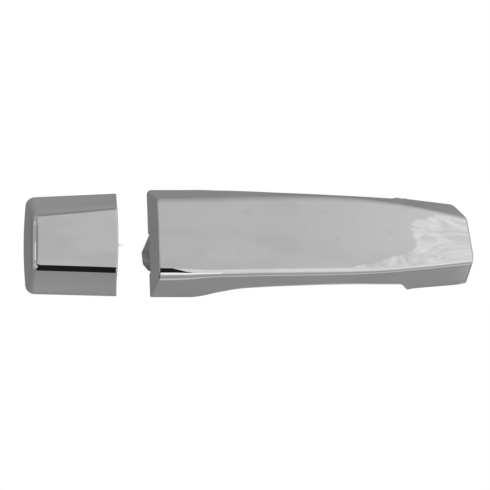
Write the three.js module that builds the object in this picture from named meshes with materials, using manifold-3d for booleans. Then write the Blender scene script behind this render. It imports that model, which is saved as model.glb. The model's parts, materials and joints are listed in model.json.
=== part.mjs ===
// Pull-type car door handle: chrome grip and end cap outside the door skin, and the chassis,
// pivot and bell crank inside it. Millimetres, +Z up, +X towards the pivot, -Y out of the door.
// Y = 0 is the chassis face that bears on the inside of the door skin.
import * as THREE from 'three';
import Module from 'manifold-3d';
import { mergeVertices } from 'three/addons/utils/BufferGeometryUtils.js';

const wasm = await Module();
wasm.setup();

// ---- driving dimensions ----
const GRIP_LEFT = -92;            // grip's free end, at its rim
const GRIP_LENGTH = 184;
const GRIP_RIGHT = GRIP_LEFT + GRIP_LENGTH;
const RIM_Y = -3.0;               // rims of the grip and the cap, clear of the gaskets
const SHELL = 2.4;                // wall of the chromed covers
const GAP = 0.3;                  // between neighbouring pieces
const SKIN = 2.05;                // door skin and its reinforcement, between gaskets and chassis
const GASKET = 0.7;
const CAP_GAP = 15.9;             // from the cap to the grip
const CAP_LENGTH = 53.4;
const CAP_DEPTH = 33;             // cap's face above its rim
const CAP_LEAN = 4.0;             // cap's outer end leans back this much over its depth
const END_LEAN = 0.16;            // free end leans back this much for each mm of depth
const END_SLANT = 0.045;          // and this much for each mm below END_TOP
const END_TOP = 28;
const CAP_RIGHT = GRIP_LEFT - CAP_GAP;
const CAP_LEFT = CAP_RIGHT - CAP_LENGTH;
const FINGER_FROM = -69;          // rim on each side of the finger gap
const FINGER_TO = 54.6;

const FIT = 0.06;                 // running clearance of a pin in its bore
const PIVOT = { x: 84.5, y: 12, r: 2.5, boss: 4.7 };
const PIVOT_HALF = 7.5;           // half height of the hinge arm's boss
const BUSH_WALL = 1.0;
const EAR = 3;                    // chassis ears that hold the pivot pin
const CRANK = { y: 19.6, z: -15, r: 2.5, lever: 28, output: 16 };
const CRANK_REST = 30.9;          // finger's lean from upright at rest, degrees
const OUTPUT_LEAN = 130;          // output lever, from upright, degrees
const WEIGHT_LEAN = 236;          // counterweight, from upright, degrees
const WEIGHT_ARM = 12;
const WEIGHT_R = 5;
const ARM_X = -78;                // middle of the pull arm's web
const ARM_T = 4;
const CRANK_X = -70;              // middle of the crank's plate
const CRANK_T = 4;
const FINGER_R = 2;
const SLOT_HALF = 3.1;            // half width of the pull arm's slot
const PLATE = 2.5;                // chassis plate
const WALL = 2.5;                 // chassis walls
const WALL_LEFT = -87;            // middles of the two walls that carry the crank shaft
const WALL_RIGHT = -57.5;
const WEB = 1.4;                    // bridge from the grip's chassis to the cap's
const WEB_Z = -0.85;

// ---- helpers ----
const X = new THREE.Vector3(1, 0, 0);
const Y = new THREE.Vector3(0, 1, 0);
const Z = new THREE.Vector3(0, 0, 1);

// Straight-line interpolation through [position, value] pairs.
function along(points, x) {
  if (x <= points[0][0]) return points[0][1];
  for (let i = 1; i < points.length; i += 1) {
    const [x0, v0] = points[i - 1];
    const [x1, v1] = points[i];
    if (x <= x1) return v0 + (v1 - v0) * (x - x0) / (x1 - x0);
  }
  return points[points.length - 1][1];
}

function solid(geometry) {
  const bare = geometry.clone();
  bare.deleteAttribute('normal');
  bare.deleteAttribute('uv');
  const merged = mergeVertices(bare, 1e-4);
  return new wasm.Manifold(new wasm.Mesh({
    numProp: 3,
    vertProperties: new Float32Array(merged.attributes.position.array),
    triVerts: new Uint32Array(merged.index.array),
  }));
}

function geometryOf(body) {
  const mesh = body.getMesh();
  const geometry = new THREE.BufferGeometry();
  const corners = new Float32Array(mesh.vertProperties);
  geometry.setAttribute('position', new THREE.BufferAttribute(corners, 3));
  geometry.setIndex(new THREE.BufferAttribute(new Uint32Array(mesh.triVerts), 1));
  geometry.computeVertexNormals();
  return geometry;
}

const join = (...bodies) => bodies.reduce((a, b) => a.add(b));
const cut = (body, ...tools) => tools.reduce((a, b) => a.subtract(b), body);

// Box between two corners.
function box(lo, hi) {
  const geometry = new THREE.BoxGeometry(hi[0] - lo[0], hi[1] - lo[1], hi[2] - lo[2]);
  geometry.translate((lo[0] + hi[0]) / 2, (lo[1] + hi[1]) / 2, (lo[2] + hi[2]) / 2);
  return solid(geometry);
}

// Round bar along an axis, starting at `from`.
function bar(axis, from, length, r, sides = 20) {
  const geometry = new THREE.CylinderGeometry(r, r, length, sides);
  geometry.translate(0, length / 2, 0);
  if (axis === 'x') geometry.rotateZ(-Math.PI / 2);
  if (axis === 'z') geometry.rotateX(Math.PI / 2);
  geometry.translate(...from);
  return solid(geometry);
}

// The same bar, a little longer at both ends, to cut a hole through.
function bore(axis, from, length, r, sides = 20) {
  const start = [...from];
  start['xyz'.indexOf(axis)] -= 1;
  return bar(axis, start, length + 2, r, sides);
}

const ring = (axis, from, length, rOut, rIn, sides = 20) => (
  bar(axis, from, length, rOut, sides).subtract(bore(axis, from, length, rIn, sides))
);

// Closed outline with rounded corners; `radii` is one radius, or one for each corner.
function outline(corners, radii, arcSteps = 4) {
  const points = [];
  corners.forEach((corner, i) => {
    const radius = Array.isArray(radii) ? radii[i] : radii;
    const at = new THREE.Vector2(...corner);
    const before = new THREE.Vector2(...corners.at(i - 1)).sub(at).normalize();
    const after = new THREE.Vector2(...corners[(i + 1) % corners.length]).sub(at).normalize();
    if (radius === 0) {
      points.push(at);
      return;
    }
    const cos = THREE.MathUtils.clamp(before.dot(after), -1, 1);
    const reach = radius / Math.tan(Math.acos(cos) / 2);
    const start = at.clone().addScaledVector(before, reach);
    const end = at.clone().addScaledVector(after, reach);
    points.push(...new THREE.QuadraticBezierCurve(start, at, end).getPoints(arcSteps));
  });
  return points;
}

// Extrudes an outline drawn on the plane of axes `a` and `b`, along `a` x `b`.
function extrude(points, a, b, depth, from) {
  const shape = new THREE.Shape(points);
  const geometry = new THREE.ExtrudeGeometry(shape, { depth, bevelEnabled: false });
  const normal = new THREE.Vector3().crossVectors(a, b);
  geometry.applyMatrix4(new THREE.Matrix4().makeBasis(a, b, normal));
  geometry.translate(...from);
  return solid(geometry);
}

// Plate facing Y, from y0 to y1, its outline in (x, z).
const plateY = (points, y0, y1) => extrude(points, X, Z, y1 - y0, [0, y1, 0]);
// Plate facing X, from x0 to x1, its outline in (y, z).
const plateX = (points, x0, x1) => extrude(points, Y, Z, x1 - x0, [x0, 0, 0]);
// Plate facing Z, from z0 to z1, its outline in (x, y).
const plateZ = (points, z0, z1) => extrude(points, X, Y, z1 - z0, [0, 0, z0]);

// Socket-head screw along Y; `sense` is +1 when the shank points inwards.
function screw(x, z, seat, sense, { headR, headH, shankR, shank, socketR }) {
  const span = (y, length, r, sides) => bar('y', [x, Math.min(y, y + length), z], Math.abs(length), r, sides);
  const head = span(seat, -sense * headH, headR, 20);
  const stem = span(seat - sense * 0.5, sense * (shank + 0.5), shankR, 12);
  const socket = span(seat - sense * headH * 0.45, -sense * headH, socketR, 6);
  return cut(join(head, stem), socket);
}

const handle = new THREE.Group();
function addPiece(name, body, [color, roughness, metalness]) {
  const material = new THREE.MeshStandardMaterial({ color, roughness, metalness });
  const mesh = new THREE.Mesh(geometryOf(body), material);
  mesh.name = name;
  handle.add(mesh);
}

const CHROME = [0xbfc1c4, 0.05, 1];
const DARK_PLASTIC = [0x2a2b2d, 0.6, 0];
const NYLON = [0xdedfdc, 0.5, 0];
const RUBBER = [0x1b1b1c, 0.85, 0];
const ZINC = [0xa3a6a8, 0.4, 1];
const STEEL = [0xb4b6b8, 0.3, 1];
const BRASS = [0xb08d4f, 0.35, 1];

// ---- grip body: a section swept along X, its walls tapering from the rim to the face ----
const FACE_Y = [[-92, -36.5], [-55, -38], [0, -38.5], [45, -35], [70, -31], [92, -26.5]];
const TOP_CREASE = [[-92, 24.6], [-60, 25.2], [-17, 26.2], [26, 25.1], [55, 21.2], [92, 13]];
const LOW_CREASE = [[-92, -14.4], [-46, -16.1], [-17, -17.6], [33, -16.7], [92, -10.9]];
const TOP_RIM = [[-92, 30.3], [-69, 30.3], [-41, 31.7], [-17, 31.2], [14, 29.5], [46, 27.3],
  [48.6, 27.9], [54.7, 25.2], [80, 22.1], [92, 20.6]];
const LOW_RIM = [[-92, -30.1], [-55, -29.9], [-41, -30.4], [14, -29.8], [46, -26.4], [54.7, -25.4],
  [88, -22.3], [92, -22]];
const STATIONS = [-92, -80, -69, -55, -41, -28, -17, -2, 14, 30, 46, 48.6, 54.7, 62, 69, 80, 92];
// Finger side of the grip in plan: down from the rear foot in an S, arched, and up to the front foot.
const FINGER_SIDE = [[FINGER_FROM - 2, 5], [FINGER_FROM, RIM_Y], [-62, -5.2], [-52, -11.5],
  [-41, -17], [-17, -20.8], [14, -22.8], [36, -19.4], [47, -15.6], [FINGER_TO - 3.4, -13.4],
  [FINGER_TO, RIM_Y], [FINGER_TO + 0.6, 5]];

// Solid of the grip, `inset` mm inside its skin and open past the rim when it is a core.
function gripSolid(inset, back = RIM_Y) {
  const section = outline([[0, 0], [1, 0], [1, 1], [0, 1]], [0, 0.07, 0.09, 0]);
  const steps = STATIONS.length - 1;
  const options = { depth: steps, steps, bevelEnabled: false };
  const geometry = new THREE.ExtrudeGeometry(new THREE.Shape(section), options);
  const at = geometry.attributes.position;
  for (let i = 0; i < at.count; i += 1) {
    const x = STATIONS[steps - Math.round(at.getZ(i))];
    const y = back + (along(FACE_Y, x) + inset - back) * at.getX(i);
    const depth = (RIM_Y - y) / (RIM_Y - along(FACE_Y, x));
    const top = THREE.MathUtils.lerp(along(TOP_RIM, x), along(TOP_CREASE, x), depth) - inset;
    const low = THREE.MathUtils.lerp(along(LOW_RIM, x), along(LOW_CREASE, x), depth) + inset;
    at.setXYZ(i, x, y, THREE.MathUtils.lerp(low, top, at.getY(i)));
  }
  return solid(geometry).intersect(gripEnds(inset));
}

// Prism that trims the sweep to the slanted free end and the tapered tip.
function gripEnds(inset) {
  const reach = 45;
  const left = GRIP_LEFT + inset;
  const right = GRIP_RIGHT - inset;
  const corners = [[left, -40], [right - 4.4, -40], [right - 4.4, -23], [right, -8.4],
    [right - 4, 14.3], [right - 12, 22.2], [right - 30, 40], [left, 40]];
  const points = outline(corners, [0, 0, 1, 1.6, 1, 1, 0, 0]);
  const options = { depth: reach + 5, bevelEnabled: false };
  const geometry = new THREE.ExtrudeGeometry(new THREE.Shape(points), options);
  const at = geometry.attributes.position;
  for (let i = 0; i < at.count; i += 1) {
    const y = 5 - at.getZ(i);
    const z = at.getY(i);
    const lean = at.getX(i) < 0 ? END_LEAN * (RIM_Y - y) + END_SLANT * (END_TOP - z) : 0;
    at.setXYZ(i, at.getX(i) + lean, y, z);
  }
  return solid(geometry);
}

// Space behind the grip for the fingers, through from top to bottom.
function fingerGap() {
  const curve = new THREE.SplineCurve(FINGER_SIDE.map((p) => new THREE.Vector2(...p)));
  return plateZ(curve.getPoints(26), -45, 45);
}

// The tip turns in as the grip swings out, so its rim is cut back from the gasket.
const tipRelief = () => plateZ([[80, RIM_Y], [96, RIM_Y - 3], [96, 6], [80, 6]]
  .map((p) => new THREE.Vector2(...p)), -45, 45);

const EAR_LUG = { from: -6.2, to: -3.3 };   // lug of the pull arm that shows beside the free end
const lugNotch = () => box([-98, EAR_LUG.from - GAP, -16.4], [-80, 5, 5.4]);

const COVER_SCREWS = [[-22, 4, -20.2], [33, 4, -21.3]];   // x, z and y of the finger-side surface
const SMALL_SCREW = { headR: 3, headH: 1.8, shankR: 1.4, shank: 8, socketR: 1.3 };
const ARM_SCREW = { headR: 3.2, headH: 2, shankR: 1.7, shank: 12, socketR: 1.4 };

// ---- grip cover: chrome-plated shell with two screw bosses inside ----
{
  const shell = cut(gripSolid(0), gripSolid(SHELL, RIM_Y + 3), fingerGap(), tipRelief(), lugNotch());
  const bosses = COVER_SCREWS.map(([x, z, y]) => {
    const top = y - 6;
    const depth = top - along(FACE_Y, x) - 1;
    return cut(bar('y', [x, top - depth, z], depth, 3.4), bore('y', [x, top - 5.5, z], 5.5, 1.46, 12));
  });
  addPiece('grip_cover', join(shell, ...bosses), CHROME);
}

// ---- grip core: moulding that fills the cover and carries both arms ----
const REAR_POCKET = { lo: [-85.5, -16, -19.5], hi: [-71.5, 5, 23] };
const FRONT_POCKET = { lo: [57, -14, -15], hi: [87, 5, 15.5] };
const PULL_SCREWS = [[-78, -14.3], [-78, 17.8]];
const HINGE_SCREWS = [[62.5, -6], [62.5, 7]];
{
  const block = cut(gripSolid(SHELL + GAP), fingerGap(), tipRelief(), lugNotch());
  const pockets = [REAR_POCKET, FRONT_POCKET].map(({ lo, hi }) => box(lo, hi));
  const coverHoles = COVER_SCREWS.flatMap(([x, z, y]) => [
    bar('y', [x, -45, z], y - 6 + GAP + 45, 3.8),
    bar('y', [x, -45, z], 50, 1.8, 12),
    bar('y', [x, y - 2.6, z], 10, 3.5),
  ]);
  const armHoles = [...PULL_SCREWS.map(([x, z]) => bar('y', [x, -26, z], 14, 1.76, 12)),
    ...HINGE_SCREWS.map(([x, z]) => bar('y', [x, -24, z], 14, 1.76, 12))];
  addPiece('grip_core', cut(block, ...pockets, ...coverHoles, ...armHoles), DARK_PLASTIC);
}
COVER_SCREWS.forEach(([x, z, y], i) => {
  addPiece(`cover_screw_${i + 1}`, screw(x, z, y - 2.3, -1, SMALL_SCREW), STEEL);
});

// ---- pull arm: at the free end, carries the crank's finger in its slot ----
const lean = (angle, r) => {
  const a = THREE.MathUtils.degToRad(angle);
  return [CRANK.y + r * Math.sin(a), CRANK.z + r * Math.cos(a)];
};
const FINGER = lean(CRANK_REST, CRANK.lever);
{
  const flange = plateY(outline([[-84.5, -18.5], [-72.5, -18.5], [-72.5, 22], [-84.5, 22]], 3), -15.6, -12.2);
  const side = [[-13, -9], [-13, 12], [-8, 12], [2, 19], [28, 20.5], [42, 20.5], [42, 1.5],
    [24, 1.5], [-1.2, 1.5], [-6, -9]];
  const sideRounds = [0, 0, 2, 4, 3, 5, 5, 4, 2, 2];
  const web = plateX(outline(side, sideRounds), ARM_X - ARM_T / 2, ARM_X + ARM_T / 2);
  const rib = plateZ([[-77, -13], [-77, -4], [-73, -13]].map((p) => new THREE.Vector2(...p)), 1, 4);
  const lugSide = [[-77, 5], [-90.8, 4.6], [-94.9, -5], [-94.2, -11.6], [-90.6, -15.7], [-84, -15.7],
    [-77, -8.5]];
  const lug = plateY(outline(lugSide, [0, 1, 2, 3.5, 3, 2, 0]), EAR_LUG.from, EAR_LUG.to);
  const keySlot = [[-93.1, -9.3], [-90.7, -9.3], [-90.7, -4.8], [-93.1, -4.8]];
  const lugHole = plateY(outline(keySlot, 1.1, 3), -8, EAR_LUG.to - 1.1);
  const [fy, fz] = FINGER;
  const rise = CRANK.lever * (1 - Math.cos(THREE.MathUtils.degToRad(CRANK_REST)));
  const slotSide = [[fy - SLOT_HALF, fz - SLOT_HALF], [fy + SLOT_HALF, fz - SLOT_HALF],
    [fy + SLOT_HALF, fz + rise + SLOT_HALF], [fy - SLOT_HALF, fz + rise + SLOT_HALF]];
  const slot = plateX(outline(slotSide, 1.2), ARM_X - 10, ARM_X + 10);
  const holes = PULL_SCREWS.map(([x, z]) => bore('y', [x, -16, z], 5, 1.9, 12));
  addPiece('pull_arm', cut(join(flange, web, rib, lug), lugHole, slot, ...holes), ZINC);
}
PULL_SCREWS.forEach(([x, z], i) => {
  addPiece(`pull_arm_screw_${i + 1}`, screw(x, z, -12.1, -1, ARM_SCREW), STEEL);
});

// ---- hinge arm: at the tapered end, turns on the pivot pin ----
{
  const flange = plateY(outline([[58, -11], [84, -11], [84, 12.5], [58, 12.5]], 2.5), -13.6, -10.4);
  const side = [[68, -11], [83, -11], [83.8, 1], [PIVOT.x + 3, 8], [PIVOT.x, PIVOT.y],
    [PIVOT.x - PIVOT.boss + 0.5, PIVOT.y + 1], [76, 2], [68, -5]];
  const web = plateZ(outline(side, [0, 0, 2, 0, 0, 0, 4, 3]), -PIVOT_HALF, PIVOT_HALF);
  const start = [PIVOT.x, PIVOT.y, -PIVOT_HALF];
  const boss = bar('z', start, 2 * PIVOT_HALF, PIVOT.boss, 28);
  const hole = bore('z', start, 2 * PIVOT_HALF, PIVOT.r + FIT + BUSH_WALL + FIT, 24);
  const holes = HINGE_SCREWS.map(([x, z]) => bore('y', [x, -14, z], 5, 1.9, 12));
  addPiece('hinge_arm', cut(join(flange, web, boss), hole, ...holes), ZINC);
  const bushR = PIVOT.r + FIT + BUSH_WALL;
  addPiece('pivot_bush', ring('z', start, 2 * PIVOT_HALF, bushR, PIVOT.r + FIT, 24), NYLON);
}
HINGE_SCREWS.forEach(([x, z], i) => {
  addPiece(`hinge_arm_screw_${i + 1}`, screw(x, z, -10.3, -1, { ...ARM_SCREW, shank: 10 }), STEEL);
});

// ---- end cap ----
function capSolid(inset, back = RIM_Y) {
  const depths = [0, 0.5, 0.93, 0.98, 1];
  const rounding = [0, 0, 0, 0.5, 1.8];
  const points = outline([[0, 0], [1, 0], [1, 1], [0, 1]], [0.15, 0.03, 0.03, 0.15]);
  const steps = depths.length - 1;
  const options = { depth: steps, steps, bevelEnabled: false };
  const geometry = new THREE.ExtrudeGeometry(new THREE.Shape(points), options);
  const at = geometry.attributes.position;
  const { lerp } = THREE.MathUtils;
  for (let i = 0; i < at.count; i += 1) {
    const step = Math.round(at.getZ(i));
    const y = lerp(back, RIM_Y - CAP_DEPTH + inset, depths[step]);
    const d = (RIM_Y - y) / CAP_DEPTH;
    const trim = inset + rounding[step];
    const share = at.getX(i);
    const left = CAP_LEFT + CAP_LEAN * d + trim;
    const right = CAP_RIGHT - 2.6 * (1 - d) - inset;
    const top = lerp(lerp(25.9, 28.3, share), lerp(14.6, 19.4, share), d) - trim;
    const low = lerp(lerp(-26.7, -29.3, share), lerp(-12.2, -14.4, share), d) + trim;
    at.setXYZ(i, lerp(left, right, share), y, lerp(low, top, at.getY(i)));
  }
  return solid(geometry);
}

const PAD = { x: -134, holeR: 6.4 };          // cap's stem passes through the pad
const LOCATOR = { lo: [-149, -8, -3], hi: [-146, 2.2, 3] };
const REAR_FIXING = [-121.5, 0];
{
  addPiece('cap_cover', cut(capSolid(0), capSolid(SHELL, RIM_Y + 3)), CHROME);
  const block = capSolid(SHELL + GAP);
  const stem = bar('y', [PAD.x, -16, 0], 18.2, 6);
  const locator = box(LOCATOR.lo, LOCATOR.hi);
  const screwRoom = bar('y', [REAR_FIXING[0], -8, REAR_FIXING[1]], 12, 5.2);
  const insertHole = bar('y', [PAD.x, -12, 0], 20, 3.2 + FIT);
  const hollows = [-1, 1].flatMap((s) => [[-150, -135.5], [-132.5, -118]].map(([x0, x1]) => (
    box([x0, -19, s * 13 - 6], [x1, 2, s * 13 + 6]))));
  addPiece('cap_core', cut(join(cut(block, ...hollows, screwRoom), stem, locator), insertHole), DARK_PLASTIC);
  addPiece('cap_insert', ring('y', [PAD.x, -10, 0], 11.8, 3.2, 2.0 + FIT), BRASS);
  const capScrew = { headR: 3.6, headH: 2.6, shankR: 2.0, shank: 13, socketR: 1.6 };
  addPiece('cap_screw', screw(PAD.x, 0, 4.1, -1, capScrew), STEEL);
  addPiece('cap_washer', ring('y', [PAD.x, PLATE + 0.1, 0], 1.4, 7.5, 2.2), STEEL);
}

// ---- gaskets on the outside of the skin, with pegs through it into the chassis ----
function gasket(outer, inner, rOuter, rInner, pegs) {
  const top = -SKIN - GASKET;
  const band = cut(plateY(outline(outer, rOuter), top, -SKIN), plateY(outline(inner, rInner), top - 1, 1));
  return join(band, ...pegs.map(([x, z]) => bar('y', [x, -SKIN - 0.5, z], SKIN + 2.6, 1.4, 12)));
}
const REAR_PEGS = [[-80, -20.5], [-78, 25.6]];
const FRONT_PEGS = [[57, -8], [57, 8]];
const CAP_PEGS = [[-148, 12.5], [-120, -14]];
addPiece('rear_gasket', gasket(
  [[-90, -28], [-66.5, -28], [-66.5, 28], [-90, 28]],
  [[-86.5, -17], [-69.5, -17], [-69.5, 23.2], [-86.5, 23.2]],
  3, 2, REAR_PEGS,
), RUBBER);
addPiece('front_gasket', gasket(
  [[54.8, -21], [84, -19], [89.4, -9], [88.4, 9], [80, 19], [54.8, 21]],
  [[59.4, -12], [82, -12], [87.1, -8.4], [87.1, 8.4], [80, 12], [59.4, 12]],
  2, 1, FRONT_PEGS,
), RUBBER);
addPiece('cap_gasket', gasket(
  [[-159, -24], [-112.5, -26.5], [-112.5, 25.5], [-159, 23]],
  [[-144, -9], [-115.5, -9], [-115.5, 9], [-144, 9]],
  4, 2, CAP_PEGS,
).subtract(box([-150, -5, -3.6], [-144.5, 2, 3.6])), RUBBER);

const SPRING = { from: CRANK_X + 5.2, to: WALL_RIGHT - WALL / 2 - 1, turns: 3, r: 4.6, wire: 0.55 };
const SPRING_ANCHOR = [CRANK.y - SPRING.r, CRANK.z - 7];   // hole in the right-hand wall

// ---- chassis: one casting inside the skin ----
const FRONT_FIXING = [63.5, 0];
const SHAFT_AT = [CRANK.y, CRANK.z];
{
  const rearPlate = plateY(outline([[-89, -24], [-53, -24], [-53, 28], [-89, 28]], 3), 0, PLATE);
  const beam = plateY(outline([[-55, -13], [60, -13], [60, 13], [-55, 13]], 0), 0, PLATE);
  const frontSide = [[54, -16], [84, -15], [89.3, -10], [88.2, 10], [83, 15], [54, 16]];
  const frontPlate = plateY(outline(frontSide, 2), 0, PLATE);
  const pad = plateY(outline([[-153, -18], [-116, -18], [-116, 18], [-153, 18]], 4), 0, PLATE);
  const flanges = [-1, 1].flatMap((s) => [
    box([-56, 1, s * 12 - 1], [76, 12, s * 12 + 1]),
    box([-150, 1, s * 16.5 - 1], [-119, 8, s * 16.5 + 1]),
  ]);
  const bridge = plateZ([[-124, 0], [-124, 7], [-112, 10], [-100, 20], [-86, 22], [-86, 0]]
    .map((p) => new THREE.Vector2(...p)), WEB_Z - WEB / 2, WEB_Z + WEB / 2);
  const cheekSide = [[0, -24], [0, 6], [12, 4], [27, -7], [27, -22.5], [20, -24]];
  const cheek = outline(cheekSide, [0, 0, 3, 5, 4, 0]);
  const cheeks = [WALL_LEFT, WALL_RIGHT].map((x) => plateX(cheek, x - WALL / 2, x + WALL / 2));
  const ears = [-1, 1].map((s) => {
    const z = s * (PIVOT_HALF + 0.6 + EAR / 2);
    const side = outline([[76, 0], [88, 0], [88.3, 13], [86, 17], [80, 17], [76, 10]], [0, 0, 2, 3, 4, 2]);
    return plateZ(side, z - EAR / 2, z + EAR / 2);
  });
  const bosses = [FRONT_FIXING, REAR_FIXING].map(([x, z]) => bar('y', [x, 0, z], 9, 4.5));
  const body = join(rearPlate, beam, frontPlate, pad, ...flanges, bridge, ...cheeks, ...ears, ...bosses);
  const windows = [
    box([-84.2, -5, -1], [-62, 5, 22.5]),
    box([69, -5, -PIVOT_HALF - 0.6], [86.8, 5, PIVOT_HALF + 0.6]),
    bore('y', [PAD.x, 0, 0], PLATE, PAD.holeR, 24),
    box([LOCATOR.lo[0] - 0.4, -5, -3.4], [LOCATOR.hi[0] + 0.4, 5, 3.4]),
  ];
  const holes = [
    ...[FRONT_FIXING, REAR_FIXING].map(([x, z]) => bore('y', [x, 0, z], 9, 2 + FIT, 12)),
    ...[...REAR_PEGS, ...FRONT_PEGS, ...CAP_PEGS].map(([x, z]) => bore('y', [x, 0, z], PLATE, 1.7, 12)),
    bore('x', [-92, ...SHAFT_AT], 40, CRANK.r + FIT),
    bar('x', [WALL_RIGHT - 3, ...SPRING_ANCHOR], 8, 0.9, 10),
    bore('z', [PIVOT.x, PIVOT.y, -20], 40, PIVOT.r + FIT, 24),
  ];
  addPiece('chassis', cut(body, ...windows, ...holes), NYLON);
}
const FIXING = { headR: 3.6, headH: 1.8, shankR: 2, shank: 9.4, socketR: 1.6 };
[['front_fixing_screw', FRONT_FIXING], ['rear_fixing_screw', REAR_FIXING]].forEach(([name, [x, z]]) => {
  addPiece(name, screw(x, z, -SKIN, 1, FIXING), STEEL);
});

// ---- pivot pin and its clip ----
const EAR_OUT = PIVOT_HALF + 0.6 + EAR;
{
  const stem = bar('z', [PIVOT.x, PIVOT.y, -EAR_OUT - 2.5], 2 * EAR_OUT + 3, PIVOT.r, 24);
  const head = bar('z', [PIVOT.x, PIVOT.y, EAR_OUT + 0.1], 1.6, PIVOT.r + 1.1, 24);
  const groove = ring('z', [PIVOT.x, PIVOT.y, -EAR_OUT - 1.5], 1.1, PIVOT.r + 1, PIVOT.r - 0.6, 24);
  addPiece('pivot_pin', cut(join(stem, head), groove), STEEL);
}
// Snap clip for a pin's groove, lying across `axis`, open towards -Y.
function snapClip(axis, at, r) {
  const disc = ring(axis, at, 0.8, r + 2.2, r - 0.45, 24);
  const half = r - 0.45;
  const lo = [at[0] - half, at[1] - 20, at[2] - half];
  const hi = [at[0] + half, at[1], at[2] + half];
  lo['xyz'.indexOf(axis)] = at['xyz'.indexOf(axis)] - 1;
  hi['xyz'.indexOf(axis)] = at['xyz'.indexOf(axis)] + 2;
  return disc.subtract(box(lo, hi));
}
addPiece('pivot_clip', snapClip('z', [PIVOT.x, PIVOT.y, -EAR_OUT - 1.35], PIVOT.r), STEEL);

// ---- bell crank on its shaft ----
const CRANK_LO = CRANK_X - CRANK_T / 2;
const CRANK_HI = CRANK_X + CRANK_T / 2;
const HUB = [CRANK_X - 4, CRANK_X + 4];
const OUTPUT = lean(OUTPUT_LEAN, CRANK.output);
const WEIGHT = lean(WEIGHT_LEAN, WEIGHT_ARM);

// Tapered lever from the hub to a round end.
function lever([y, z], rHub, rEnd) {
  const base = new THREE.Vector2(...SHAFT_AT);
  const tip = new THREE.Vector2(y, z);
  const axis = tip.clone().sub(base).normalize();
  const side = new THREE.Vector2(-axis.y, axis.x);
  const flanks = [base.clone().addScaledVector(side, -rHub), tip.clone().addScaledVector(side, -rEnd),
    tip.clone().addScaledVector(side, rEnd), base.clone().addScaledVector(side, rHub)];
  return join(plateX(flanks, CRANK_LO, CRANK_HI), bar('x', [CRANK_LO, y, z], CRANK_T, rEnd));
}
{
  const arms = [lever(FINGER, 6, 4.8), lever(OUTPUT, 6, 4.2), lever(WEIGHT, 6, 4.6)];
  const hub = bar('x', [HUB[0], ...SHAFT_AT], HUB[1] - HUB[0], 6.4, 24);
  const holes = [bore('x', [HUB[0], ...SHAFT_AT], 8, CRANK.r + FIT),
    bore('x', [CRANK_LO, ...FINGER], CRANK_T, FINGER_R + 0.02),
    bore('x', [CRANK_LO, ...OUTPUT], CRANK_T, 1.8 + FIT, 12),
    bore('x', [CRANK_LO, ...WEIGHT], CRANK_T, 1.5 + 0.02, 12)];
  addPiece('bell_crank', cut(join(hub, ...arms), ...holes), ZINC);
  addPiece('crank_finger', bar('x', [-83, ...FINGER], 16.5, FINGER_R), STEEL);
}
{
  const left = WALL_LEFT - WALL / 2;
  const right = WALL_RIGHT + WALL / 2;
  const stem = bar('x', [left - 0.6, ...SHAFT_AT], right - left + 3, CRANK.r);
  const head = bar('x', [left - 1.7, ...SHAFT_AT], 1.6, CRANK.r + 1.6);
  const groove = ring('x', [right + 0.4, ...SHAFT_AT], 1.1, CRANK.r + 1, CRANK.r - 0.6);
  addPiece('crank_shaft', cut(join(stem, head), groove), STEEL);
  addPiece('crank_shaft_clip', snapClip('x', [right + 0.55, ...SHAFT_AT], CRANK.r), STEEL);
  const spacer = WALL_LEFT + WALL / 2 + GAP;
  const spacerLength = HUB[0] - GAP - spacer;
  addPiece('crank_spacer', ring('x', [spacer, ...SHAFT_AT], spacerLength, 4.4, CRANK.r + FIT), NYLON);
}

// ---- counterweight, so a side impact can't swing the crank open ----
addPiece('counterweight', ring('x', [CRANK_HI + 0.1, ...WEIGHT], 5.5, WEIGHT_R, 1.5 + FIT, 24), STEEL);
{
  const stem = bar('x', [CRANK_LO - 0.5, ...WEIGHT], CRANK_T + 7.1, 1.5, 12);
  const heads = [CRANK_LO - 1.3, CRANK_HI + 5.75].map((x) => bar('x', [x, ...WEIGHT], 1.2, 2.8, 16));
  addPiece('counterweight_rivet', join(stem, ...heads), STEEL);
}

// ---- rod clip on the output lever, for the rod down to the latch ----
{
  const body = bar('x', [CRANK_HI + GAP, ...OUTPUT], 6, 3.9, 16);
  const stub = bar('x', [CRANK_LO - 1.2, ...OUTPUT], CRANK_T + 3, 1.8, 12);
  const barb = bar('x', [CRANK_LO - 1.6, ...OUTPUT], 1.3, 2.4, 12);
  const rodHole = bore('z', [CRANK_HI + 3.6, OUTPUT[0], OUTPUT[1] - 6], 12, 1.5, 12);
  addPiece('rod_clip', cut(join(body, stub, barb), rodHole), NYLON);
}

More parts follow.
